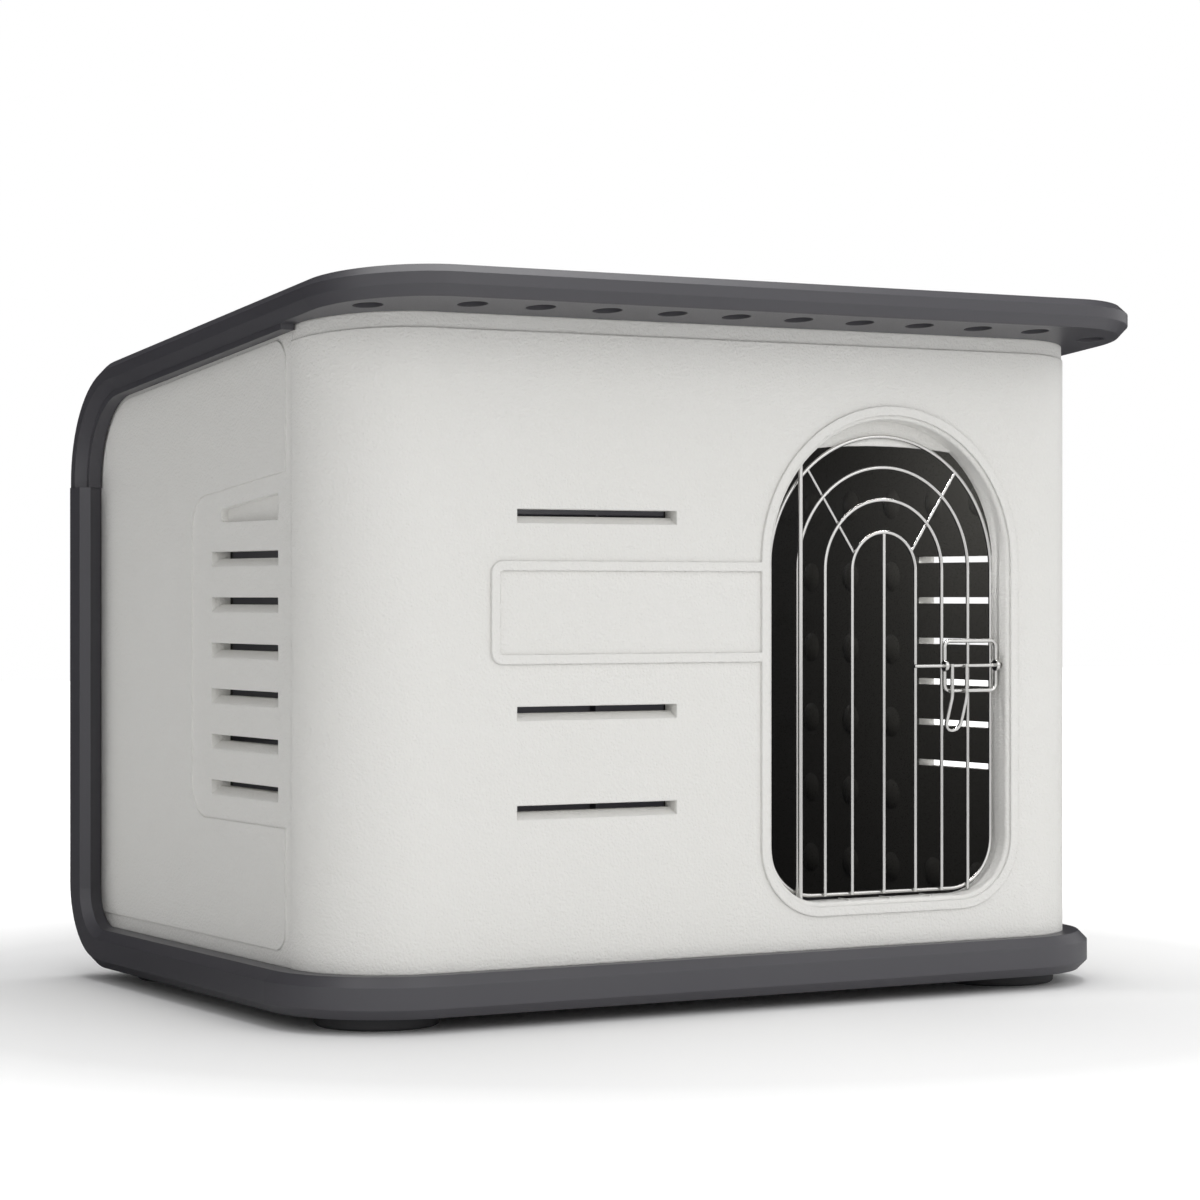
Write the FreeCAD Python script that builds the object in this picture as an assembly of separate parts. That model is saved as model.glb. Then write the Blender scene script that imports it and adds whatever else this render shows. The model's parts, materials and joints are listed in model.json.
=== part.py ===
"""Moulded kennel for a large dog: dark base and roof mouldings, light walls, wire door.

Working frame: X = 0 is the left wall's outer plane, Y = 0 the front wall's outer plane,
Z = 0 the ground.  Every solid is moved at export so that the origin is the centre of the
footprint.  Millimetres, +Z up, the door faces -Y.
"""
import FreeCAD, Part
import math
import os
from FreeCAD import Vector as V

# ---- walls
CABIN_W = 888.0          # over the outer faces of the two side walls
CABIN_D = 606.0          # front wall plane to the inner face of the rear wall
CORNER_R = 98.0          # plan radius of the front wall's wrapped corners
SEAM_Y = 104.0           # where the front wall stops
SEAM_GAP = 0.5           # shadow gap between front and side walls
WALL = 22.0              # depth of a light wall moulding
SKIN = 3.5               # its outer skin
LINER = 3.0              # thickness of a dark inner liner
BORDER = 1.5             # step round a wall's raised field
RIDGE_H = 2.5            # height of the raised ridges

# ---- base moulding
GROUND = 14.3            # foot height, the underside of the base rim
RIM_H = 40.1             # height of the base rim
RIM_FACE = 21.3          # its vertical face between two chamfers
RIM_FRONT = 23.6         # how far the rim stands out in front of the front wall
RIM_SIDE = 28.7          # how far it stands out beside the side walls
RIM_R = 126.0            # plan radius of the rim's front corners
FLOOR_T = 5.0            # floor thickness
RIM_WALL = 13.0          # how far the underside hollow stays inside the rim's outline
REAR_T = 19.0            # rear wall thickness over its ribs
REAR_SKIN = 6.0          # its outer skin
REAR_CELLS = (7, 3)      # rib cells across and up
REAR_STRIP = 47.0        # depth of the upright strips at the rear corners
REAR_SIDE_R = 88.0       # side-view radius where the rim turns up
REAR_SEAM_Z = 526.0      # top of the lower rear wall
FLANK_IN = 8.0           # how far before the rear wall the strips' set-back flanks stand
FLANK_R = 40.0           # side-view radius where a flank meets the ledge

# ---- roof moulding
ROOF_TOP = 706.2         # top surface above Y = 0
ROOF_T = 29.1            # thickness at the rim
ROOF_SKIN = 5.0          # thickness over the cabin
ROOF_SLOPE = 0.095       # fall per millimetre towards the rear
ROOF_FRONT = 85.9        # overhang in front of the front wall
ROOF_SIDE = 25.0         # overhang beside the side walls
ROOF_R = 109.5           # plan radius of its front corners
ROOF_LAP = 6.0           # how far its rear stands outside the rear wall
ROOF_BEND_R = 126.0      # side-view radius at the rear
ROOF_LIP = 6.0           # how much lower the lips inside the side rims reach
ROOF_LIP_Y = 95.0        # where those lips start
ROOF_CH_TOP = 8.1
ROOF_CH_LOW = 9.8
DIMPLE_R = 14.5
DIMPLE_PITCH = 72.4
DIMPLE_COUNT = 10
DIMPLE_CORNER = (24.0, -14.0)   # the two at the corners, from the wall planes

# ---- feet
FOOT_R = 60.0
FOOT_IN = 78.0           # foot centres from the wall planes
SCREW_R = 4.0
SCREW_HEAD_R = 8.0

# ---- door opening
DOOR_X = 621.25          # centre line
DOOR_HALF = 143.85
SILL_Z = 101.5
ARCH_Z = 444.5           # arch centre height
SILL_R = 58.0
DOOR_EDGE_R = 3.5        # rounding of the opening's front edge
COLLAR = 6.0             # light collar round the opening, flush with the liner
STOP_Y = 20.7            # front face of the door stop
STOP_ANGLE = 38.0
STOP_DROP = 25.8         # how far the stop hangs below the crown

# ---- wire door
WIRE_DROP = 9.1          # wire arches' centre below the opening's arch centre
FRAME_GAP = 7.25         # opening to the centre of the outer wire
FRAME_WIRE = 4.0
FRAME_Y = 18.0
FRAME_LIFT = 5.7         # sill to the centre of the outer wire's foot
FRAME_R_LESS = 7.0       # its bottom corners' radius, less than the sill's
ARCH_WIRE = 3.8
ARCH_FIRST = 31.6        # outer wire to the first inner arch
ARCH_PITCH = 33.0        # from arch to arch
WELD = 0.3               # depth one wire sinks into another at a weld
SPOKE_WIRE = 3.0
SPOKE_ANGLES = (27.0, 48.1)     # of a spoke's inner and outer ends, above level
ROD_WIRE = 4.8
ROD_END = 10.0           # how far the hinge rod enters the wall, top and bottom
ROD_SHIFT = 0.8          # hinge rod's centre beside the outer arch's leg
RUN_FIT = 0.06           # radial clearance of a running fit

# ---- latch
LATCH_Z = 337.3          # bolt axis height
LATCH_Y = 10.0           # bolt axis depth
BOLT_WIRE = 3.8
BOLT_L = 106.6
BOLT_TIP_GAP = 2.1       # drawn bolt's tip to the wall
BOLT_THROW = 34.0
KEEPER_GAP = 0.6
BRACKET_WIRE = 4.3
BRACKET_IN = 1.25        # bracket's left side beside the middle arch's leg
BRACKET_OUT = 1.55       # its right side beside the outer wire
BRACKET_LOW, BRACKET_HIGH = 25.8, 25.7  # below and above the bolt
BRACKET_R = 6.5
EYELET_R = 6.2
EYELET_T = 4.6
HANDLE_WIRE = 4.0
HANDLE_IN = 7.4         # handle's arms inside the legs on either side
HANDLE_GAP = 0.3         # the handle's clearance from the bolt
HANDLE_DROP = 67.3       # how far the handle hangs below the bolt
HANDLE_LOW_Y = 19.0

# ---- vents
FRONT_SLOT_X = (188.5, 365.8)
FRONT_SLOT_TOPS = (492.5, 303.6, 209.1)
FRONT_SLOT_H, FRONT_SLOT_OPEN = 13.5, 6.7
SIDE_SLOT_Y = (137.0, 299.0)
SIDE_SLOT_TOP, SIDE_SLOT_PITCH, SIDE_SLOT_COUNT = 453.5, 45.6, 6
SIDE_SLOT_H, SIDE_SLOT_OPEN = 15.7, 7.0
SLOT_RAMP = 12.0         # depth over which a slot's floor climbs
POCKET_DEPTH = 9.0
PLATE_X, PLATE_Z, PLATE_R = 160.0, (344.0, 443.0), 12.0
RIDGE_W = 9.5
RIDGE_OFF = 4.5          # gap from the opening to its ridge
BUMP_R, BUMP_H, BUMP_PITCH = 17.0, 4.5, 83.0
BUMP_CLEAR = 30.0        # from a bump's centre to the roof or the rear wall

WIRE_Z = ARCH_Z - WIRE_DROP
FRAME_HALF = DOOR_HALF - FRAME_GAP
FRAME_FOOT_Z = SILL_Z + FRAME_LIFT
FRAME_FOOT_R = SILL_R - FRAME_R_LESS
ARCH_RADII = tuple((name, FRAME_HALF - ARCH_FIRST - k * ARCH_PITCH)
                   for k, name in enumerate(("outer", "middle", "inner")))
BOLT_X1 = DOOR_X + DOOR_HALF - BOLT_TIP_GAP
BOLT_X0 = BOLT_X1 - BOLT_L
BRACKET_X0 = DOOR_X + ARCH_RADII[1][1] + BRACKET_IN
BRACKET_X1 = DOOR_X + FRAME_HALF + BRACKET_OUT
BRACKET_Z0, BRACKET_Z1 = LATCH_Z - BRACKET_LOW, LATCH_Z + BRACKET_HIGH
HANDLE_X0 = DOOR_X + ARCH_RADII[1][1] + HANDLE_IN
HANDLE_X1 = DOOR_X + ARCH_RADII[0][1] - HANDLE_IN
HANDLE_LOW_Z = LATCH_Z - HANDLE_DROP
BASE_TOP = GROUND + RIM_H
RIM_CH = (RIM_H - RIM_FACE) / 2
REAR_Y = CABIN_D + REAR_T
ROOF_REAR_Y = REAR_Y + ROOF_LAP
RIGHT = CABIN_W
UP = V(0, 0, 1)
SHIFT = V(-CABIN_W / 2, -(ROOF_REAR_Y - ROOF_FRONT) / 2, 0)
OUT = "parts"
os.makedirs(OUT, exist_ok=True)


def box(x0, y0, z0, x1, y1, z1):
    return Part.makeBox(x1 - x0, y1 - y0, z1 - z0, V(x0, y0, z0))


def cyl(r, start, end):
    axis = end - start
    return Part.makeCylinder(r, axis.Length, start, axis)


def fused(shapes):
    first = shapes[0]
    if len(shapes) > 1:
        first = first.fuse(shapes[1:])
    return first.removeSplitter()


def save(name, shape):
    if len(shape.Solids) == 1:
        shape = shape.Solids[0]
    shape = shape.copy()
    shape.translate(SHIFT)
    shape.exportStep(os.path.join(OUT, name + ".step"))


def corner(points, radii):
    """Closed planar wire through points, each corner rounded by its radius."""
    n = len(points)
    starts, ends, arcs = [], [], []
    for i, p in enumerate(points):
        r = radii[i]
        a = (points[i - 1] - p).normalize()
        b = (points[(i + 1) % n] - p).normalize()
        if r <= 0:
            starts.append(p)
            ends.append(p)
            arcs.append(None)
            continue
        half = a.getAngle(b) / 2
        run = r / math.tan(half)
        mid = p + (a + b).normalize() * (r / math.sin(half) - r)
        starts.append(p + a * run)
        ends.append(p + b * run)
        arcs.append(Part.Arc(p + a * run, mid, p + b * run).toShape())
    edges = []
    for i in range(n):
        if arcs[i]:
            edges.append(arcs[i])
        tail, head = ends[i], starts[(i + 1) % n]
        if (tail - head).Length > 1e-6:
            edges.append(Part.makeLine(tail, head))
    return Part.Wire(edges)


def plate(points, radii, push):
    return Part.Face(corner(points, radii)).extrude(push)


def plan(inset, z0, z1, x_side, y_front, radius, y_rear, rear_r=0.0):
    """Upright prism over a plan outline with rounded front corners."""
    x0, x1 = -x_side + inset, RIGHT + x_side - inset
    y0 = -y_front + inset
    pts = [V(x0, y0, z0), V(x1, y0, z0), V(x1, y_rear, z0), V(x0, y_rear, z0)]
    r = radius - inset
    return plate(pts, [r, r, rear_r, rear_r], V(0, 0, z1 - z0))


def roof_low(y):
    """Height of the roof's underside."""
    return ROOF_TOP - ROOF_T - ROOF_SLOPE * y


def under_roof(drop=0.0, y0=-200.0):
    """Everything inside the roof's inner surface, moved in by drop."""
    far = ROOF_REAR_Y - ROOF_T - drop
    deep = max(CABIN_D - drop, far)
    pts = [V(-100, y0, 0), V(-100, deep, 0), V(-100, deep, REAR_SEAM_Z),
           V(-100, far, REAR_SEAM_Z), V(-100, far, roof_low(far) - drop),
           V(-100, y0, roof_low(y0) - drop)]
    radii = [0, 0, 0, 0, ROOF_BEND_R - ROOF_T - drop, 0]
    return plate(pts, radii, V(CABIN_W + 200, 0, 0))


def door_shape(grow, y0, y1):
    """The arched opening's outline, grown outwards, as a prism from y0 to y1."""
    h = DOOR_HALF + grow
    low = SILL_Z - grow
    r = SILL_R + grow
    rect = [V(DOOR_X - h, y0, low), V(DOOR_X + h, y0, low),
            V(DOOR_X + h, y0, ARCH_Z), V(DOOR_X - h, y0, ARCH_Z)]
    body = plate(rect, [r, r, 0, 0], V(0, y1 - y0, 0))
    head = cyl(h, V(DOOR_X, y0, ARCH_Z), V(DOOR_X, y1, ARCH_Z))
    return body.fuse(head).removeSplitter()


def louvre(a, b, top, height, opening, depth):
    """Cutter for a slot whose floor climbs inwards: run a..b along X, into +Y."""
    pts = [V(a, -4, top), V(a, -4, top - height), V(a, 0, top - height),
           V(a, SLOT_RAMP, top - opening), V(a, depth, top - opening), V(a, depth, top)]
    return plate(pts, [0] * 6, V(b - a, 0, 0))


def to_side(shape):
    """Turn a cutter made for the front wall on to the left wall: X to Y, Y to X."""
    turned = shape.copy()
    turned.rotate(V(0, 0, 0), UP, 90)
    return turned.mirror(V(0, 0, 0), V(1, 0, 0))


def to_right(shape):
    return shape.mirror(V(CABIN_W / 2, 0, 0), V(1, 0, 0))


def chamfer(solid, size, pick):
    edges = [e for e in solid.Edges if pick(e)]
    return solid.makeChamfer(size, edges)


def tube(edges, d):
    """Round wire swept along a chain of edges."""
    path = Part.Wire(edges)
    first = path.OrderedEdges[0]
    start = path.OrderedVertexes[0].Point
    at = first.FirstParameter
    if (first.valueAt(at) - start).Length > 1e-6:
        at = first.LastParameter
    ring = Part.Wire(Part.makeCircle(d / 2, start, first.tangentAt(at)))
    return path.makePipeShell([ring], True, False)


# ------------------------------------------------------------------ base and feet
def foot_spots():
    xs = (("left", FOOT_IN), ("right", CABIN_W - FOOT_IN))
    ys = (("front", FOOT_IN), ("rear", CABIN_D - FOOT_IN))
    return [("%s_%s" % (ny, nx), x, y) for ny, y in ys for nx, x in xs]


def l_profile():
    """Side view of the rim turning up into the rear strips, swept across the width."""
    y0, y1 = -RIM_FRONT, REAR_Y
    inner = REAR_Y - REAR_STRIP
    pts = [V(-RIM_SIDE, y0, GROUND), V(-RIM_SIDE, y1, GROUND),
           V(-RIM_SIDE, y1, REAR_SEAM_Z), V(-RIM_SIDE, inner, REAR_SEAM_Z),
           V(-RIM_SIDE, inner, BASE_TOP), V(-RIM_SIDE, y0, BASE_TOP)]
    radii = [0, REAR_SIDE_R, 0, 0, REAR_SIDE_R - REAR_STRIP, 0]
    return plate(pts, radii, V(CABIN_W + 2 * RIM_SIDE, 0, 0))


def outline_edge(e, x_side, y_front, radius, y_rear):
    """True when the edge lies on the moulding's outer side, corner or front faces."""
    lo, hi = e.ParameterRange
    for t in (lo, (lo + hi) / 2, hi):
        p = e.valueAt(t)
        x = min(p.x + x_side, RIGHT + x_side - p.x)
        y = p.y + y_front
        if x < radius and y < radius:
            if abs(math.hypot(radius - x, radius - y) - radius) > 0.02:
                return False
        elif min(abs(x), abs(y)) > 0.02:
            return False
    return True


def make_base():
    body = l_profile().common(plan(0, 0, 600, RIM_SIDE, RIM_FRONT, RIM_R, REAR_Y))

    def rim(e):
        box_ = e.BoundBox
        if not outline_edge(e, RIM_SIDE, RIM_FRONT, RIM_R, REAR_Y):
            return False
        if box_.ZMin > REAR_SEAM_Z - 1:
            return False
        upright = box_.ZLength > 1 and box_.YLength < 0.1
        return not (upright and box_.YMax < REAR_Y - REAR_STRIP - 1)

    body = chamfer(body, RIM_CH, rim)
    # cabin side: open above the floor between the walls' outer planes
    body = body.cut(plan(0, BASE_TOP, 600, 0, 0, CORNER_R, CABIN_D))
    # underside: hollow, with foot bosses and two long ribs left standing
    hollow = plan(RIM_WALL, 0, BASE_TOP - FLOOR_T, RIM_SIDE, RIM_FRONT, RIM_R, CABIN_D - 30)
    keep = [cyl(FOOT_R + 4, V(x, y, 0), V(x, y, 100)) for _, x, y in foot_spots()]
    for k in (1, 2, 3):
        x = RIGHT * k / 4
        keep.append(box(x - 2.5, -40, 0, x + 2.5, CABIN_D, 100))
    keep.append(box(-40, CABIN_D / 2 - 2.5, 0, RIGHT + 40, CABIN_D / 2 + 2.5, 100))
    body = body.cut(hollow.cut(keep[0].fuse(keep[1:])))
    # behind their chamfers the rear strips are set back towards the rear wall
    inner, out, flank_y = REAR_Y - REAR_STRIP, -RIM_SIDE + RIM_CH, CABIN_D - FLANK_IN
    flank = plate([V(out, inner - REAR_SIDE_R, BASE_TOP), V(out, flank_y, BASE_TOP),
                   V(out, flank_y, REAR_SEAM_Z + 1), V(out, inner - REAR_SIDE_R, REAR_SEAM_Z + 1)],
                  [0, FLANK_R, 0, 0], V(0.5 - out, 0, 0))
    body = body.cut([flank, to_right(flank)])
    # shallow recessed field on the back
    field = [V(70, REAR_Y + 5, 120), V(RIGHT - 70, REAR_Y + 5, 120),
             V(RIGHT - 70, REAR_Y + 5, 480), V(70, REAR_Y + 5, 480)]
    body = body.cut(plate(field, [40] * 4, V(0, -7, 0)))
    # cabin side of the rear wall: cells between ribs
    nx, nz = REAR_CELLS
    wx, wz = (RIGHT - 60) / nx, (REAR_SEAM_Z - BASE_TOP - 100) / nz
    cells = []
    for i in range(nx):
        for j in range(nz):
            x, z = 30 + i * wx, BASE_TOP + 80 + j * wz
            cells.append(box(x + 2, CABIN_D - 1, z + 2, x + wx - 2, REAR_Y - REAR_SKIN, z + wz - 2))
    body = body.cut(cells)
    for _, x, y in foot_spots():
        body = body.cut(cyl(SCREW_R - WELD, V(x, y, 0), V(x, y, GROUND + 26)))
    return body.removeSplitter()


def make_foot(x, y):
    disc = cyl(FOOT_R, V(x, y, 0), V(x, y, GROUND))
    low = [e for e in disc.Edges if e.BoundBox.ZMax < 0.1]
    disc = disc.makeFillet(4.0, low)
    disc = disc.cut(cyl(SCREW_HEAD_R + 1, V(x, y, -1), V(x, y, 7.5)))
    return disc.cut(cyl(SCREW_R + 0.5, V(x, y, 0), V(x, y, 20)))


def make_screw(x, y):
    head = cyl(SCREW_HEAD_R, V(x, y, 3.5), V(x, y, 7.5))
    head = head.makeFillet(1.5, [e for e in head.Edges if e.BoundBox.ZMax < 3.6])
    slot = [box(x - 5, y - 0.9, 3, x + 5, y + 0.9, 5.3), box(x - 0.9, y - 5, 3, x + 0.9, y + 5, 5.3)]
    return head.fuse(cyl(SCREW_R, V(x, y, 7), V(x, y, GROUND + 24))).cut(slot[0].fuse(slot[1]))


# ------------------------------------------------------------------ roof
def roof_band(inset, thick, x0, x1):
    """Side view of the roof sheet between two depths below its outer surface."""
    def line(y):
        return ROOF_TOP - ROOF_SLOPE * y
    far = ROOF_REAR_Y - inset
    near = far - thick
    y0 = -ROOF_FRONT
    pts = [V(x0, y0, line(y0) - inset), V(x0, far, line(far) - inset),
           V(x0, far, REAR_SEAM_Z), V(x0, near, REAR_SEAM_Z),
           V(x0, near, line(near) - inset - thick), V(x0, y0, line(y0) - inset - thick)]
    r = ROOF_BEND_R - inset
    return plate(pts, [0, r, 0, 0, max(r - thick, 20), 0], V(x1 - x0, 0, 0))


def make_roof():
    outline = plan(0, 400, 800, ROOF_SIDE, ROOF_FRONT, ROOF_R, ROOF_REAR_Y)
    body = roof_band(0, ROOF_T, -ROOF_SIDE, RIGHT + ROOF_SIDE).common(outline)

    top_mid = ROOF_TOP - ROOF_SLOPE * ROOF_REAR_Y - ROOF_BEND_R * (1 - ROOF_SLOPE)

    def outer(e, low):
        if not outline_edge(e, ROOF_SIDE, ROOF_FRONT, ROOF_R, ROOF_REAR_Y):
            return False
        b = e.BoundBox
        if b.ZMin > REAR_SEAM_Z - 1 and b.ZMax < REAR_SEAM_Z + 1:
            return False
        if b.YLength < 0.1 and b.XLength < 0.1 and b.YMax < 500:
            return False
        lo, hi = e.ParameterRange
        p = e.valueAt((lo + hi) / 2)
        top = ROOF_TOP - ROOF_SLOPE * p.y
        bend_y = ROOF_REAR_Y - ROOF_BEND_R
        if p.y < bend_y:
            is_low = p.z < top - ROOF_T / 2
        elif b.YLength > 1 and p.z > REAR_SEAM_Z + 15:
            is_low = math.hypot(p.y - bend_y, p.z - top_mid) < ROOF_BEND_R - ROOF_T / 2
        else:
            is_low = p.y < ROOF_REAR_Y - ROOF_T / 2 - 1
        return is_low == low

    body = chamfer(body, ROOF_CH_TOP, lambda e: outer(e, False))
    body = chamfer(body, ROOF_CH_LOW, lambda e: outer(e, True))
    # hollow the cabin side between the wall tops
    hollow = roof_band(ROOF_SKIN, 60, WALL + LINER + 8, RIGHT - WALL - LINER - 8)
    hollow = hollow.common(box(0, WALL + LINER + 8, 0, RIGHT, CABIN_D - 30, 900))
    body = body.cut(hollow)
    # lips inside the side rims, over the tops of the side walls
    for x in (-ROOF_SIDE + ROOF_CH_LOW + 0.5, RIGHT + SEAM_GAP):
        width = ROOF_SIDE - ROOF_CH_LOW - 0.5 - SEAM_GAP
        lip = roof_band(ROOF_T - 6, ROOF_LIP + 6, x, x + width)
        body = body.fuse(lip.common(box(-100, ROOF_LIP_Y, 0, 2000, 900, 900)))
    spots = [(CABIN_W / 2 + (i - (DIMPLE_COUNT - 1) / 2) * DIMPLE_PITCH, -ROOF_FRONT / 2)
             for i in range(DIMPLE_COUNT)]
    spots += [(DIMPLE_CORNER[0], DIMPLE_CORNER[1]), (RIGHT - DIMPLE_CORNER[0], DIMPLE_CORNER[1])]
    body = body.cut([cyl(DIMPLE_R, V(x, y, roof_low(y) - 8), V(x, y, roof_low(y) + 5))
                     for x, y in spots])
    return body.removeSplitter()


# ------------------------------------------------------------------ light walls
def front_prism(inset, z0=BASE_TOP):
    return plan(inset, z0, 760, 0, 0, CORNER_R, SEAM_Y).common(under_roof())


def front_slots(depth):
    return [louvre(FRONT_SLOT_X[0], FRONT_SLOT_X[1], top, FRONT_SLOT_H,
                   FRONT_SLOT_OPEN, depth) for top in FRONT_SLOT_TOPS]


def ring_xz(x0, x1, z0, z1, r, width, y0, y1):
    def rect(d):
        pts = [V(x0 + d, y0, z0 + d), V(x1 - d, y0, z0 + d),
               V(x1 - d, y0, z1 - d), V(x0 + d, y0, z1 - d)]
        return plate(pts, [max(r - d, 3.0)] * 4, V(0, y1 - y0, 0))
    return rect(0).cut(rect(width))


def on_opening(e):
    """True for an edge that lies on the door opening's outline."""
    lo, hi = e.ParameterRange
    for t in (lo, (lo + hi) / 2, hi):
        p = e.valueAt(t)
        dx, dz = abs(p.x - DOOR_X), p.z - ARCH_Z
        if dz >= 0:
            off = math.hypot(dx, dz) - DOOR_HALF
        elif p.z < SILL_Z + SILL_R and dx > DOOR_HALF - SILL_R:
            off = math.hypot(dx - DOOR_HALF + SILL_R, SILL_Z + SILL_R - p.z) - SILL_R
        else:
            off = max(dx - DOOR_HALF, SILL_Z - p.z)
        if abs(off) > 0.05:
            return False
    return True


def make_front_panel():
    ring = front_prism(0).cut(plan(WALL, 0, 800, 0, 0, CORNER_R, SEAM_Y + 1))
    # open-backed pockets behind the skin
    back = plan(SKIN, BASE_TOP + 8, 760, 0, 0, CORNER_R, SEAM_Y - 5)
    back = back.cut(plan(WALL + 1, 0, 800, 0, 0, CORNER_R, SEAM_Y + 1)).common(under_roof(16))
    keep = [door_shape(26, -5, 60)]
    for top in FRONT_SLOT_TOPS:
        keep.append(box(FRONT_SLOT_X[0] - 6, -5, top - FRONT_SLOT_H - 5,
                        FRONT_SLOT_X[1] + 6, 60, top + 5))
    for x in (110.0, 410.0):
        keep.append(box(x - 2, -5, 0, x + 2, 60, 800))
    ring = ring.cut(back.cut(keep[0].fuse(keep[1:])))
    # border under the roof
    edge = plan(-1, 0, 800, 0, 0, CORNER_R, SEAM_Y + 1)
    edge = edge.cut(plan(BORDER, 0, 800, 0, 0, CORNER_R, SEAM_Y + 1)).cut(under_roof(15))
    ring = ring.cut(edge)
    # ridges round the opening and the name plate
    ridge = door_shape(RIDGE_OFF + RIDGE_W, -RIDGE_H, 1).cut(door_shape(RIDGE_OFF, -9, 9))
    frame = ring_xz(PLATE_X, DOOR_X - DOOR_HALF + 30, PLATE_Z[0], PLATE_Z[1], PLATE_R,
                    RIDGE_W, -RIDGE_H, 1)
    frame = frame.cut(door_shape(RIDGE_OFF + 1, -9, 9))
    collar = door_shape(COLLAR, WALL - 1, WALL + LINER)
    ring = ring.fuse([ridge, frame, collar])
    ring = ring.cut([door_shape(0, -20, 60)] + front_slots(WALL + 1)).removeSplitter()
    rim = [e for e in ring.Edges if abs(e.BoundBox.YMin) < 0.01 and abs(e.BoundBox.YMax) < 0.01
           and on_opening(e)]
    ring = ring.makeFillet(DOOR_EDGE_R, rim)
    # door stop across the crown
    reach = DOOR_HALF * math.sin(math.radians(STOP_ANGLE))
    end_z = ARCH_Z + DOOR_HALF * math.cos(math.radians(STOP_ANGLE))
    low_z = ARCH_Z + DOOR_HALF - STOP_DROP
    arc = Part.Arc(V(DOOR_X - reach, STOP_Y, end_z), V(DOOR_X, STOP_Y, low_z),
                   V(DOOR_X + reach, STOP_Y, end_z)).toShape()
    crown = Part.Arc(V(DOOR_X + reach, STOP_Y, end_z), V(DOOR_X, STOP_Y, ARCH_Z + DOOR_HALF + 3),
                     V(DOOR_X - reach, STOP_Y, end_z)).toShape()
    stop = Part.Face(Part.Wire([arc, crown])).extrude(V(0, WALL + LINER - STOP_Y, 0))
    ribs = [box(DOOR_X + k * 50 - 1, 3, SILL_Z - 1, DOOR_X + k * 50 + 1, 22, SILL_Z + 1.4)
            for k in (-1, 0, 1)]
    ring = ring.fuse([stop] + ribs)
    # holes for the hinge rod and the bolt
    hole = ROD_WIRE / 2 + RUN_FIT
    x, y = ROD_X, ROD_Y
    ring = ring.cut([cyl(hole, V(x, y, ROD_Z0 - 0.3), V(x, y, ROD_Z0 + 25)),
                     cyl(hole, V(x, y, ROD_Z1 - 25), V(x, y, ROD_Z1 + 4)),
                     cyl(BOLT_WIRE / 2 + KEEPER_GAP, V(DOOR_X + DOOR_HALF - 5, LATCH_Y, LATCH_Z),
                         V(BOLT_X1 + BOLT_THROW + 3, LATCH_Y, LATCH_Z))])
    return ring.removeSplitter()


def make_front_liner():
    body = front_prism(WALL).cut(plan(WALL + LINER, 0, 800, 0, 0, CORNER_R, SEAM_Y + 1))
    body = body.cut(front_slots(WALL + LINER + 1) + [door_shape(COLLAR + 0.3, 0, 60)])
    spots = [(x, z) for x in (110.0, 180.0, 250.0, 320.0, 390.0, 805.0)
             for z in (120.0, 260.0, 400.0, 560.0, 620.0)]
    bumps = [dome(V(x, WALL + LINER, z), V(0, 1, 0)) for x, z in spots
             if abs(x - DOOR_X) > DOOR_HALF + 30]
    return body.fuse(bumps).removeSplitter()


def dome(at, out):
    """Round raised bump on a liner."""
    r = (BUMP_R ** 2 + BUMP_H ** 2) / (2 * BUMP_H)
    ball = Part.makeSphere(r, at - out * (r - BUMP_H))
    return ball.common(cyl(BUMP_R + 1, at - out * 0.6, at + out * (BUMP_H + 1)))


def side_slots(depth):
    cuts = []
    for k in range(SIDE_SLOT_COUNT):
        top = SIDE_SLOT_TOP - k * SIDE_SLOT_PITCH
        cuts.append(to_side(louvre(SIDE_SLOT_Y[0], SIDE_SLOT_Y[1], top, SIDE_SLOT_H,
                                   SIDE_SLOT_OPEN, depth)))
    return cuts


def make_side_panel():
    """The left wall; the right one is its mirror image."""
    y0, y1 = SEAM_Y + SEAM_GAP, CABIN_D
    body = box(0, y0, BASE_TOP, WALL, y1, 760).common(under_roof())
    z_vent = SIDE_SLOT_TOP - SIDE_SLOT_COUNT * SIDE_SLOT_PITCH
    pockets = [box(SKIN, y0 + 6, BASE_TOP + 8, WALL + 1, y1 - 6, z_vent + 12),
               box(SKIN, SIDE_SLOT_Y[1] + 10, z_vent + 16, WALL + 1, y1 - 6, 700),
               box(SKIN, y0 + 6, 522, WALL + 1, SIDE_SLOT_Y[1] + 6, 700)]
    body = body.cut([p.common(under_roof(12)) for p in pockets])
    # border round the raised field
    lim = under_roof(9).common(box(-5, y0 + 14, BASE_TOP + 14.6, BORDER, y1 + 5, 760))
    upright = [e for e in lim.Edges if e.BoundBox.XLength > 1 and e.BoundBox.YMax < y0 + 20]
    lim = lim.makeFillet(22, upright)
    body = body.cut(box(-5, y0 - 5, 0, BORDER, y1 + 5, 760).cut(lim))
    # stepped vent zone, open towards the front corner
    zone = [V(-1, y0 + 14, z_vent + 7), V(-1, 347, z_vent + 7), V(-1, 347, 507),
            V(-1, y0 + 14, 529)]
    zone_cut = plate(zone, [0, 35, 35, 0], V(1 + BORDER, 0, 0))
    body = body.cut(zone_cut)
    pocket = [V(-1, 137, 483), V(-1, 275, 483), V(-1, 275, 496), V(-1, 137, 508.6)]
    body = body.cut(plate(pocket, [3, 5, 5, 3], V(1 + POCKET_DEPTH, 0, 0)))
    return body.cut(side_slots(WALL + 1)).removeSplitter()


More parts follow.
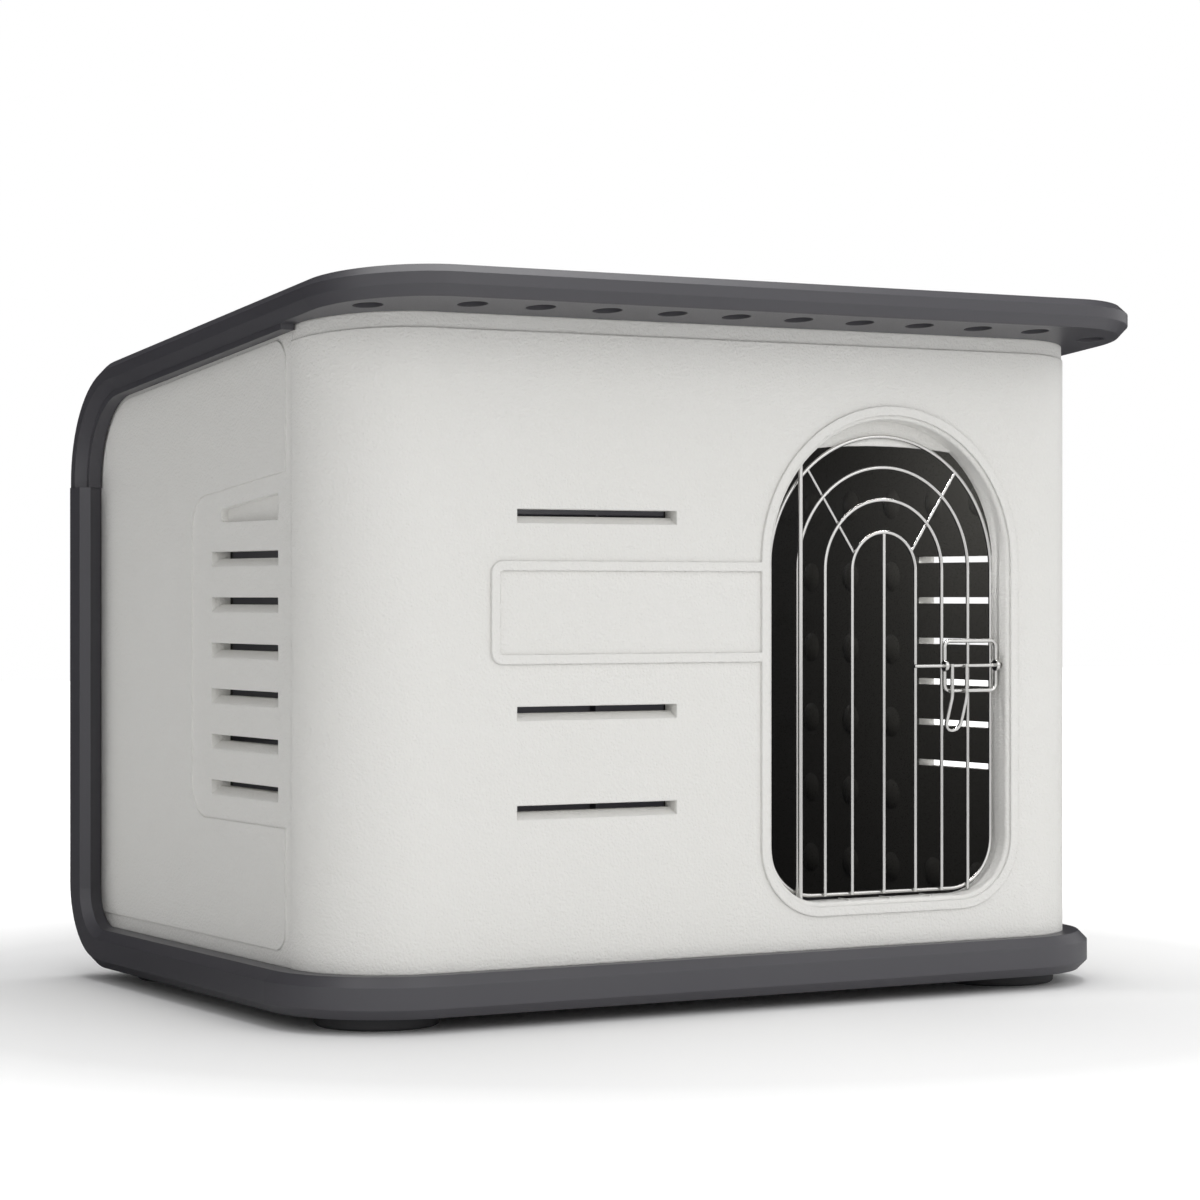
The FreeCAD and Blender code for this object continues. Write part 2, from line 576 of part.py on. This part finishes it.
def make_side_liner():
    y0, y1 = SEAM_Y + SEAM_GAP, CABIN_D
    body = box(WALL, y0, BASE_TOP, WALL + LINER, y1, 760).common(under_roof())
    body = body.cut(side_slots(WALL + LINER + 1))
    # rows of bumps over the whole liner but its vents and its edges
    edge = BUMP_R + 5
    vents = box(-1, 0, SIDE_SLOT_TOP - SIDE_SLOT_COUNT * SIDE_SLOT_PITCH + SLOT_RAMP - edge,
                1, SIDE_SLOT_Y[1] + edge, SIDE_SLOT_TOP + edge)
    field = under_roof(BUMP_CLEAR, y0 + edge).cut(vents)
    bumps = []
    for i in range(7):
        for j in range(8):
            y, z = 101 + i * BUMP_PITCH, BASE_TOP + 45 + j * BUMP_PITCH
            if field.isInside(V(0, y, z), 0.1, True):
                bumps.append(dome(V(WALL + LINER, y, z), V(1, 0, 0)))
    return body.fuse(bumps).removeSplitter()


# ------------------------------------------------------------------ wire door
ARCH_Y = FRAME_Y - (FRAME_WIRE + ARCH_WIRE) / 2 + WELD
ROD_X = DOOR_X - ARCH_RADII[0][1] + ROD_SHIFT
ROD_Y = ARCH_Y - (ARCH_WIRE + ROD_WIRE) / 2 + WELD
ROD_Z0 = SILL_Z + 3.0 - ROD_END
ROD_Z1 = ARCH_Z + math.sqrt(DOOR_HALF ** 2 - (DOOR_X - ROD_X) ** 2) + ROD_END
BRACKET_Y = ARCH_Y - (ARCH_WIRE + BRACKET_WIRE) / 2 + WELD


def arch_edges(r, y, z_low):
    a, b = DOOR_X - r, DOOR_X + r
    return [Part.makeLine(V(a, y, z_low), V(a, y, WIRE_Z)),
            Part.Arc(V(a, y, WIRE_Z), V(DOOR_X, y, WIRE_Z + r), V(b, y, WIRE_Z)).toShape(),
            Part.makeLine(V(b, y, WIRE_Z), V(b, y, z_low))]


def make_frame_wire():
    h, y, low, r = FRAME_HALF, FRAME_Y, FRAME_FOOT_Z, FRAME_FOOT_R
    a, b = DOOR_X - h, DOOR_X + h
    k = r * (1 - math.sqrt(0.5))
    edges = [Part.makeLine(V(DOOR_X, y, low), V(b - r, y, low)),
             Part.Arc(V(b - r, y, low), V(b - k, y, low + k), V(b, y, low + r)).toShape(),
             Part.makeLine(V(b, y, low + r), V(b, y, WIRE_Z)),
             Part.Arc(V(b, y, WIRE_Z), V(DOOR_X, y, WIRE_Z + h), V(a, y, WIRE_Z)).toShape(),
             Part.makeLine(V(a, y, WIRE_Z), V(a, y, low + r)),
             Part.Arc(V(a, y, low + r), V(a + k, y, low + k), V(a + r, y, low)).toShape(),
             Part.makeLine(V(a + r, y, low), V(DOOR_X, y, low))]
    return tube(edges, FRAME_WIRE)


def make_spoke(side):
    y = ARCH_Y + (ARCH_WIRE + SPOKE_WIRE) / 2 - WELD
    ends = []
    for r, angle in zip((ARCH_RADII[2][1], FRAME_HALF - WELD), SPOKE_ANGLES):
        turn = math.radians(angle)
        ends.append(V(DOOR_X + side * r * math.cos(turn), y, WIRE_Z + r * math.sin(turn)))
    a, b = ends
    return cyl(SPOKE_WIRE / 2, a, b)


def make_bracket():
    x0, x1, z0, z1, r, y = BRACKET_X0, BRACKET_X1, BRACKET_Z0, BRACKET_Z1, BRACKET_R, BRACKET_Y
    k = r * (1 - math.sqrt(0.5))
    mid = (x0 + x1) / 2
    edges = [Part.makeLine(V(mid, y, z0), V(x1 - r, y, z0)),
             Part.Arc(V(x1 - r, y, z0), V(x1 - k, y, z0 + k), V(x1, y, z0 + r)).toShape(),
             Part.makeLine(V(x1, y, z0 + r), V(x1, y, z1 - r)),
             Part.Arc(V(x1, y, z1 - r), V(x1 - k, y, z1 - k), V(x1 - r, y, z1)).toShape(),
             Part.makeLine(V(x1 - r, y, z1), V(x0 + r, y, z1)),
             Part.Arc(V(x0 + r, y, z1), V(x0 + k, y, z1 - k), V(x0, y, z1 - r)).toShape(),
             Part.makeLine(V(x0, y, z1 - r), V(x0, y, z0 + r)),
             Part.Arc(V(x0, y, z0 + r), V(x0 + k, y, z0 + k), V(x0 + r, y, z0)).toShape(),
             Part.makeLine(V(x0 + r, y, z0), V(mid, y, z0))]
    loop = tube(edges, BRACKET_WIRE)
    # the wire is flattened into a pierced eye where the bolt runs through
    parts, holes = [], []
    for x in (x0, x1):
        a, b = V(x - EYELET_T / 2, LATCH_Y, LATCH_Z), V(x + EYELET_T / 2, LATCH_Y, LATCH_Z)
        eye = cyl(EYELET_R, a, b)
        parts.append(eye.makeFillet(1.8, [e for e in eye.Edges if e.Length > 30]))
        holes.append(cyl(BOLT_WIRE / 2 + RUN_FIT, V(x - 9, LATCH_Y, LATCH_Z),
                         V(x + 9, LATCH_Y, LATCH_Z)))
    low, high = LATCH_Z - 20, LATCH_Z + 20
    leg_x, post_x = DOOR_X + ARCH_RADII[1][1], DOOR_X + FRAME_HALF
    holes.append(cyl(ARCH_WIRE / 2 - WELD, V(leg_x, ARCH_Y, low), V(leg_x, ARCH_Y, high)))
    holes.append(cyl(FRAME_WIRE / 2 - WELD, V(post_x, FRAME_Y, low), V(post_x, FRAME_Y, high)))
    return loop.fuse(parts).cut(holes).removeSplitter()


def make_handle():
    r = HANDLE_WIRE / 2
    y = LATCH_Y - BOLT_WIRE / 2 - HANDLE_GAP - r
    a, b = HANDLE_X0, HANDLE_X1
    top, knee = LATCH_Z + BOLT_WIRE / 2, BRACKET_Z0 - 6
    half = (b - a) / 2
    low = V(0, HANDLE_LOW_Y - y, HANDLE_LOW_Z - knee)
    tilt = low.normalize()
    run = (knee - HANDLE_LOW_Z) / abs(tilt.z) - half
    ease = 4.0

    def arm(x):
        up, bend = V(x, y, knee + ease), V(x, y, knee)
        out = bend + tilt * ease
        mid = (up + out) * 0.25 + bend * 0.5
        return up, mid, out, bend + tilt * run
    ua, ma, oa, ea = arm(a)
    ub, mb, ob, eb = arm(b)
    crown = (ea + eb) * 0.5 + tilt * half
    edges = [Part.makeLine(V(a, y, top), ua), Part.Arc(ua, ma, oa).toShape(),
             Part.makeLine(oa, ea), Part.Arc(ea, crown, eb).toShape(),
             Part.makeLine(eb, ob), Part.Arc(ob, mb, ub).toShape(),
             Part.makeLine(ub, V(b, y, top))]
    return tube(edges, HANDLE_WIRE)


def main():
    save("base", make_base())
    for name, x, y in foot_spots():
        save("foot_" + name, make_foot(x, y))
        save("foot_screw_" + name, make_screw(x, y))
    save("roof", make_roof())
    save("front_panel", make_front_panel())
    save("front_liner", make_front_liner())
    panel, liner = make_side_panel(), make_side_liner()
    save("side_panel_left", panel)
    save("side_panel_right", to_right(panel))
    save("side_liner_left", liner)
    save("side_liner_right", to_right(liner))

    frame = make_frame_wire()
    save("door_frame_wire", frame)
    arches = {}
    for name, r in ARCH_RADII:
        arches[name] = tube(arch_edges(r, ARCH_Y, FRAME_FOOT_Z - 1.2), ARCH_WIRE)
        save("door_arch_" + name, arches[name])
    crown = WIRE_Z + ARCH_RADII[2][1] - ARCH_WIRE / 2 + WELD
    save("door_centre_wire", cyl(ARCH_WIRE / 2, V(DOOR_X, ARCH_Y, FRAME_FOOT_Z - 1.2),
                                 V(DOOR_X, ARCH_Y, crown)))
    save("door_spoke_left", make_spoke(-1))
    save("door_spoke_right", make_spoke(1))
    save("hinge_rod", cyl(ROD_WIRE / 2, V(ROD_X, ROD_Y, ROD_Z0), V(ROD_X, ROD_Y, ROD_Z1)))
    save("latch_bracket", make_bracket())
    bolt = cyl(BOLT_WIRE / 2, V(BOLT_X0, LATCH_Y, LATCH_Z), V(BOLT_X1, LATCH_Y, LATCH_Z))
    save("latch_bolt", bolt.makeChamfer(0.6, [e for e in bolt.Edges if e.BoundBox.XLength < 0.1]))
    save("latch_handle", make_handle())


main()
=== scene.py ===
"""Looks of a moulded dog kennel: grained light walls, charcoal base and roof, bright wire door."""
import json
import math

import bpy
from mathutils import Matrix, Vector


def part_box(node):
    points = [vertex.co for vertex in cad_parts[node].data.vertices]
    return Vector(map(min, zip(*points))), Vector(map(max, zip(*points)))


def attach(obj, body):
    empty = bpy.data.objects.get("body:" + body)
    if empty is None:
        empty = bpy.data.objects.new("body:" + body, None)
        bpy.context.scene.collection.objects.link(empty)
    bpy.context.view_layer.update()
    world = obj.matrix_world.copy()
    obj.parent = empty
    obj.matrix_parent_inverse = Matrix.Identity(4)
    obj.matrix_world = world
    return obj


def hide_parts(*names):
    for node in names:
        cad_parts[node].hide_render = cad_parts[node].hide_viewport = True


MM = 0.001
# sockets of the Mix node, by number because the names repeat for each data type
FLOAT_A, FLOAT_B, COLOUR_A, COLOUR_B, COLOUR_OUT = 2, 3, 6, 7, 2

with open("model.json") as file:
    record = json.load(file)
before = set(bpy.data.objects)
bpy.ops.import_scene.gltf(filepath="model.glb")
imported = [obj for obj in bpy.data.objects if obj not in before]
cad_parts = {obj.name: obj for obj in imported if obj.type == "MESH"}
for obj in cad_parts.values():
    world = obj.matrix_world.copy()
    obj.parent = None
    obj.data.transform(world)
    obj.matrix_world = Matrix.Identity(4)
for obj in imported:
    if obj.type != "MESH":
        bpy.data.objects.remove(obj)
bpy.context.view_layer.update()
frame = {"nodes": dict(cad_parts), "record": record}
nodes = frame["nodes"]


# ---------------------------------------------------------------- colour and nodes
def srgb(hex_value):
    """sRGB hex to the linear colour that the shader takes."""
    out = []
    for i in (0, 2, 4):
        c = int(hex_value[i:i + 2], 16) / 255
        out.append(c / 12.92 if c <= 0.04045 else ((c + 0.055) / 1.055) ** 2.4)
    return (*out, 1.0)


def add(tree, kind, values=None, links=None, **settings):
    """One node with its settings, its input values and its incoming links."""
    node = tree.nodes.new(kind)
    for name, value in settings.items():
        setattr(node, name, value)
    for key, value in (values or {}).items():
        node.inputs[key].default_value = value
    for key, source in (links or {}).items():
        tree.links.new(source, node.inputs[key])
    return node


def start_material(name, roughness, metallic=0.0, ior=None):
    """A new material, its node tree and its shader. A metal keeps the default IOR."""
    mat = bpy.data.materials.new(name)
    mat.use_nodes = True
    shader = mat.node_tree.nodes["Principled BSDF"]
    shader.inputs["Roughness"].default_value = roughness
    shader.inputs["Metallic"].default_value = metallic
    if ior:
        shader.inputs["IOR"].default_value = ior
    return mat, mat.node_tree, shader


def moulded_plastic(name, low, high, roughness, grain_mm, grain_depth_mm, ior, soft_mm=1.2):
    """Injection-moulded polymer: even colour, eroded grain, softened edges."""
    mat, tree, shader = start_material(name, roughness[0], ior=ior)
    place = add(tree, "ShaderNodeTexCoord").outputs["Object"]
    # cloudy flow variation over about 200 mm, hardly seen
    cloud = add(tree, "ShaderNodeTexNoise", {"Scale": 5.0, "Detail": 2.0}, {"Vector": place})
    blend = add(tree, "ShaderNodeMix", {COLOUR_A: srgb(low), COLOUR_B: srgb(high)},
                {0: cloud.outputs["Fac"]}, data_type="RGBA")
    tree.links.new(blend.outputs[COLOUR_OUT], shader.inputs["Base Color"])
    # leather-like eroded grain: rounded cells with finer noise between them
    cells = add(tree, "ShaderNodeTexVoronoi", {"Scale": 1 / (grain_mm * MM), "Randomness": 1.0},
                {"Vector": place}, feature="SMOOTH_F1")
    fine = add(tree, "ShaderNodeTexNoise", {"Scale": 1 / (0.6 * grain_mm * MM), "Detail": 3.0},
               {"Vector": place})
    height = add(tree, "ShaderNodeMath", {}, {0: cells.outputs["Distance"],
                                             1: fine.outputs["Fac"]}, operation="ADD")
    soft = add(tree, "ShaderNodeBevel", {"Radius": soft_mm * MM}, samples=4)
    bump = add(tree, "ShaderNodeBump", {"Strength": 1.0, "Distance": grain_depth_mm * MM},
               {"Height": height.outputs[0], "Normal": soft.outputs["Normal"]})
    tree.links.new(bump.outputs["Normal"], shader.inputs["Normal"])
    # the grain's tops are a little shinier than its valleys
    sheen = add(tree, "ShaderNodeMapRange", {"From Min": 0.3, "From Max": 1.3,
                                             "To Min": roughness[0], "To Max": roughness[1]},
                {"Value": height.outputs[0]})
    tree.links.new(sheen.outputs["Result"], shader.inputs["Roughness"])
    return mat


# polypropylene moulded in a pale warm grey with a leather grain: broad soft highlights. The
# grain's cells are drawn 2.8 mm wide, coarser than a mould's, so that they show
LIGHT_PP = moulded_plastic("polypropylene pale grey grained", "E4E3DF", "E7E6E3",
                           (0.46, 0.58), 2.8, 0.55, 1.49, soft_mm=2.0)
# the same polymer in charcoal, finely sparked tool surface: satin sheen on the chamfers
DARK_PP = moulded_plastic("polypropylene charcoal satin", "454449", "4A494D",
                          (0.34, 0.42), 1.1, 0.02, 1.49, soft_mm=1.2)
# inner liner, black polymer with a slight gloss that picks out its round bumps
LINER_PP = moulded_plastic("polypropylene black liner", "3A3936", "403F3C",
                           (0.24, 0.32), 1.4, 0.015, 1.49, soft_mm=1.5)
# vulcanised rubber of the feet: dull charcoal
RUBBER = moulded_plastic("moulded rubber charcoal", "39393B", "404042",
                         (0.62, 0.75), 0.9, 0.03, 1.52)


def drawn_wire(name, tint, roughness, draw_mm):
    """Polished wire: long fine draw marks, along Z, that soften the reflections a little."""
    mat, tree, shader = start_material(name, roughness, metallic=1.0)
    shader.inputs["Base Color"].default_value = srgb(tint)
    place = add(tree, "ShaderNodeTexCoord").outputs["Object"]
    stretch = add(tree, "ShaderNodeMapping", {"Scale": (1.0, 1.0, 0.05)}, {"Vector": place})
    marks = add(tree, "ShaderNodeTexNoise", {"Scale": 1 / (draw_mm * MM), "Detail": 2.0},
                {"Vector": stretch.outputs["Vector"]})
    rough = add(tree, "ShaderNodeMapRange", {"To Min": roughness * 0.7, "To Max": roughness * 1.5},
                {"Value": marks.outputs["Fac"]})
    tree.links.new(rough.outputs["Result"], shader.inputs["Roughness"])
    bump = add(tree, "ShaderNodeBump", {"Strength": 0.3, "Distance": 0.01 * MM},
               {"Height": marks.outputs["Fac"]})
    tree.links.new(bump.outputs["Normal"], shader.inputs["Normal"])
    return mat


# stainless wire, electropolished: bright with dark streaks of the surroundings. Its draw marks
# are drawn 0.4 mm wide, coarser than real ones
STEEL = drawn_wire("stainless steel wire polished", "D2D1CF", 0.16, 0.4)
# zinc plated screws: greyer and duller
ZINC = drawn_wire("zinc plated steel", "B5B7BA", 0.32, 0.6)

FINISH = {"light_plastic": LIGHT_PP, "dark_plastic": DARK_PP, "liner_plastic": LINER_PP,
          "wire_steel": STEEL, "foot_rubber": RUBBER, "screw_steel": ZINC}
SLOT_OF = {s["node"]: s["material_slot"] for s in frame["record"]["subparts"]}


def paint(obj, mat):
    """The object in this one material."""
    obj.data.materials.clear()
    obj.data.materials.append(mat)


for name, node in nodes.items():
    paint(node, FINISH[SLOT_OF[name]])


# ---------------------------------------------------------------- door wires
ARCH_POINTS = 80      # on the half circle; one more at each foot


def modifier_input(tree, modifier, name, value):
    """Sets one named input of a Geometry Nodes modifier."""
    for item in tree.interface.items_tree:
        if item.item_type == "SOCKET" and item.in_out == "INPUT" and item.name == name:
            modifier[item.identifier] = value


def grille_tree():
    """Upright arch: two legs and a half circle, swept with round wire."""
    tree = bpy.data.node_groups.new("door arch", "GeometryNodeTree")
    face = tree.interface
    face.new_socket("Geometry", in_out="INPUT", socket_type="NodeSocketGeometry")
    for name in ("Half width", "Centre X", "Depth Y", "Centre Z", "Foot Z", "Wire diameter"):
        face.new_socket(name, in_out="INPUT", socket_type="NodeSocketFloat")
    face.new_socket("Finish", in_out="INPUT", socket_type="NodeSocketMaterial")
    face.new_socket("Geometry", in_out="OUTPUT", socket_type="NodeSocketGeometry")
    given = add(tree, "NodeGroupInput").outputs
    # the first and last point stand at the feet, all the others on the half circle
    line = add(tree, "GeometryNodeCurvePrimitiveLine", {"Start": (0, 0, 0), "End": (1, 0, 0)})
    fine = add(tree, "GeometryNodeResampleCurve", {"Count": ARCH_POINTS + 2}, {"Curve": line.outputs[0]})
    index = add(tree, "GeometryNodeInputIndex")
    turn = add(tree, "ShaderNodeMapRange", {"From Min": 1.0, "From Max": ARCH_POINTS,
                                            "To Min": math.pi, "To Max": 0.0},
               {"Value": index.outputs[0]})
    cos = add(tree, "ShaderNodeMath", {}, {0: turn.outputs[0]}, operation="COSINE")
    sin = add(tree, "ShaderNodeMath", {}, {0: turn.outputs[0]}, operation="SINE")
    x = add(tree, "ShaderNodeMath", {}, {0: cos.outputs[0], 1: given["Half width"],
                                         2: given["Centre X"]}, operation="MULTIPLY_ADD")
    z = add(tree, "ShaderNodeMath", {}, {0: sin.outputs[0], 1: given["Half width"],
                                         2: given["Centre Z"]}, operation="MULTIPLY_ADD")
    first = add(tree, "FunctionNodeCompare", {"B": 0.5}, {"A": index.outputs[0]},
                data_type="FLOAT", operation="LESS_THAN")
    last = add(tree, "FunctionNodeCompare", {"B": ARCH_POINTS + 0.5}, {"A": index.outputs[0]},
               data_type="FLOAT", operation="GREATER_THAN")
    tip = add(tree, "FunctionNodeBooleanMath", {}, {0: first.outputs[0], 1: last.outputs[0]},
              operation="OR")
    height = add(tree, "GeometryNodeSwitch", {}, {"Switch": tip.outputs[0],
                                                  "False": z.outputs[0], "True": given["Foot Z"]},
                 input_type="FLOAT")
    spot = add(tree, "ShaderNodeCombineXYZ", {}, {"X": x.outputs[0], "Y": given["Depth Y"],
                                                  "Z": height.outputs[0]})
    bent = add(tree, "GeometryNodeSetPosition", {}, {"Geometry": fine.outputs[0],
                                                     "Position": spot.outputs[0]})
    radius = add(tree, "ShaderNodeMath", {1: 0.5}, {0: given["Wire diameter"]},
                 operation="MULTIPLY")
    ring = add(tree, "GeometryNodeCurvePrimitiveCircle", {"Resolution": 20},
               {"Radius": radius.outputs[0]})
    wire = add(tree, "GeometryNodeCurveToMesh", {"Fill Caps": True},
               {"Curve": bent.outputs[0], "Profile Curve": ring.outputs[0]})
    smooth = add(tree, "GeometryNodeSetShadeSmooth", {}, {"Geometry": wire.outputs[0]})
    real = add(tree, "GeometryNodeRealizeInstances", {}, {"Geometry": smooth.outputs[0]})
    done = add(tree, "GeometryNodeSetMaterial", {}, {"Geometry": real.outputs[0],
                                                     "Material": given["Finish"]})
    add(tree, "NodeGroupOutput", {}, {"Geometry": done.outputs[0]})
    return tree


def plain_copy(obj, name):
    """The evaluated result as an ordinary mesh object with its modifiers gone."""
    view = bpy.context.evaluated_depsgraph_get()
    mesh = bpy.data.meshes.new_from_object(obj.evaluated_get(view))
    made = bpy.data.objects.new(name, mesh)
    bpy.context.scene.collection.objects.link(made)
    bpy.data.objects.remove(obj)
    return made


ARCH = grille_tree()


def arch_wire(piece, node):
    """Round swept wire in place of a CAD arch, at its place and size."""
    low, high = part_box(node)
    wire = high.y - low.y
    half = (high.x - low.x - wire) / 2
    seed = bpy.data.objects.new(piece + "_seed", bpy.data.meshes.new(piece + "_seed"))
    bpy.context.scene.collection.objects.link(seed)
    grow = seed.modifiers.new("arch", "NODES")
    grow.node_group = ARCH
    for name, value in (("Half width", half), ("Centre X", (low.x + high.x) / 2),
                        ("Depth Y", (low.y + high.y) / 2), ("Centre Z", high.z - wire / 2 - half),
                        ("Foot Z", low.z), ("Wire diameter", wire), ("Finish", STEEL)):
        modifier_input(ARCH, grow, name, value)
    made = plain_copy(seed, piece)
    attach(made, "door")
    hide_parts(node)
    return made


for size in ("outer", "middle", "inner"):
    arch_wire("arch_wire_" + size, "door_arch_" + size)


# ---------------------------------------------------------------- studio
# strength of the white surroundings as a light, before and behind the object, and before it
# as reflections see them
SKY_FRONT, SKY_REAR, MIRROR_FRONT = 0.95, 0.06, 1.1
KEY, TOP, CORNER, RIGHT, CABIN = 13.0, 60.0, 1.5, 6.0, 1.4     # watts
FLOOR_HALF = 12.0               # metres
FLOOR_REFLECTION_SHADE = (-0.5, 0.2)     # in Y, where the floor's reflection is painted dark (painted shade)
FLOOR_FADES = (0.75, 1.9)       # distance from the object's centre, where it turns white


def studio():
    """Pale floor, white surroundings and five soft lamps."""
    floor_mat, tree, shader = start_material("studio floor pale matt", 0.9)
    # painted shade: seen in reflections only, the floor behind the object is painted dark, standing in
    # for the studio's unlit rear
    place = add(tree, "ShaderNodeNewGeometry").outputs["Position"]
    split = add(tree, "ShaderNodeSeparateXYZ", {}, {"Vector": place})
    rear = add(tree, "ShaderNodeMapRange", {"From Min": FLOOR_REFLECTION_SHADE[0],
                                            "From Max": FLOOR_REFLECTION_SHADE[1]},
               {"Value": split.outputs["Y"]})
    path = add(tree, "ShaderNodeLightPath")
    painted_reflection_shade = add(tree, "ShaderNodeMath", {}, {0: rear.outputs["Result"],
                                             1: path.outputs["Is Glossy Ray"]},
                 operation="MULTIPLY")
    # painted shade: 303030 is the floor's colour as reflections see it behind the object; the camera
    # sees FAFAFA
    blend = add(tree, "ShaderNodeMix", {COLOUR_A: srgb("FAFAFA"), COLOUR_B: srgb("303030")},
                {0: painted_reflection_shade.outputs[0]}, data_type="RGBA")
    tree.links.new(blend.outputs[COLOUR_OUT], shader.inputs["Base Color"])
    # away from the object the floor runs out into the white paper, with no horizon
    reach = add(tree, "ShaderNodeVectorMath", {}, {0: place}, operation="LENGTH")
    fade = add(tree, "ShaderNodeMapRange", {"From Min": FLOOR_FADES[0],
                                            "From Max": FLOOR_FADES[1]},
               {"Value": reach.outputs["Value"]})
    glow = add(tree, "ShaderNodeMath", {}, {0: fade.outputs["Result"],
                                           1: path.outputs["Is Camera Ray"]},
               operation="MULTIPLY")
    shader.inputs["Emission Color"].default_value = (1, 1, 1, 1)
    tree.links.new(glow.outputs[0], shader.inputs["Emission Strength"])
    mesh = bpy.data.meshes.new("studio_floor")
    mesh.from_pydata([(x * FLOOR_HALF, y * FLOOR_HALF, 0)
                      for x, y in ((-1, -1), (1, -1), (1, 1), (-1, 1))], [], [(0, 1, 2, 3)])
    floor = bpy.data.objects.new("studio_floor", mesh)
    bpy.context.scene.collection.objects.link(floor)
    paint(floor, floor_mat)

    # white paper sky: as a light it is bright before the object and dim behind it
    world = bpy.data.worlds.new("studio")
    world.use_nodes = True
    tree = world.node_tree
    tree.nodes.clear()
    sky = add(tree, "ShaderNodeTexCoord").outputs["Generated"]
    split = add(tree, "ShaderNodeSeparateXYZ", {}, {"Vector": sky})
    side = add(tree, "ShaderNodeMapRange", {"From Min": -0.5, "From Max": 0.6,
                                            "To Min": SKY_FRONT, "To Max": SKY_REAR},
               {"Value": split.outputs["Y"]})
    mirrored = add(tree, "ShaderNodeMapRange", {"From Min": -0.3, "From Max": 0.3,
                                                "To Min": MIRROR_FRONT, "To Max": 0.0},
                   {"Value": split.outputs["Y"]})
    path = add(tree, "ShaderNodeLightPath")
    strength = add(tree, "ShaderNodeMix", {}, {0: path.outputs["Is Glossy Ray"],
                                               FLOAT_A: side.outputs["Result"],
                                               FLOAT_B: mirrored.outputs["Result"]},
                   data_type="FLOAT")
    lit = add(tree, "ShaderNodeBackground", {}, {"Strength": strength.outputs[0]})
    seen = add(tree, "ShaderNodeBackground", {"Strength": 1.0})
    for node in (lit, seen):
        node.inputs["Color"].default_value = (1, 1, 1, 1)
    mix = add(tree, "ShaderNodeMixShader", {}, {0: path.outputs["Is Camera Ray"],
                                               1: lit.outputs[0], 2: seen.outputs[0]})
    add(tree, "ShaderNodeOutputWorld", {}, {"Surface": mix.outputs[0]})
    bpy.context.scene.world = world

    def area(name, where, aim, width, height, power):
        """Rectangular lamp at where, facing aim."""
        data = bpy.data.lights.new(name, "AREA")
        data.shape = "RECTANGLE"
        data.size, data.size_y, data.energy = width, height, power
        lamp = bpy.data.objects.new(name, data)
        lamp.location = where
        lamp.rotation_euler = (Vector(aim) - Vector(where)).to_track_quat("-Z", "Y").to_euler()
        bpy.context.scene.collection.objects.link(lamp)

    area("key", (1.4, -3.4, 2.2), (0.1, 0, 0.35), 2.4, 2.0, KEY)
    area("top", (0.2, 0.4, 3.2), (0, 0, 0.4), 2.5, 2.5, TOP)
    area("corner", (-1.6, -3.6, 1.4), (-0.3, -0.1, 0.4), 0.8, 1.6, CORNER)
    area("right", (3.0, 0.4, 1.0), (0.4, 0, 0.35), 1.6, 1.6, RIGHT)
    # under the roof, behind the front wall: shows the lining through the doorway
    area("cabin", (0.2, -0.2, 0.625), (0.36, 0.25, 0.275), 0.25, 0.04, CABIN)


CAMERA_AT = (-1.762, -3.0696, 0.410)
CAMERA_TURN = math.radians(29.73)


def camera():
    """Long lens, level, looking about thirty degrees in from the left."""
    data = bpy.data.cameras.new("camera")
    data.sensor_width, data.lens = 36.0, 100.0
    data.clip_start, data.clip_end = 0.1, 60.0
    data.shift_y = -0.0039
    obj = bpy.data.objects.new("camera", data)
    obj.location = CAMERA_AT
    obj.rotation_euler = (math.pi / 2, 0, -CAMERA_TURN)
    bpy.context.scene.collection.objects.link(obj)
    bpy.context.scene.camera = obj
    bpy.context.scene.view_settings.view_transform = "Standard"


studio()
camera()
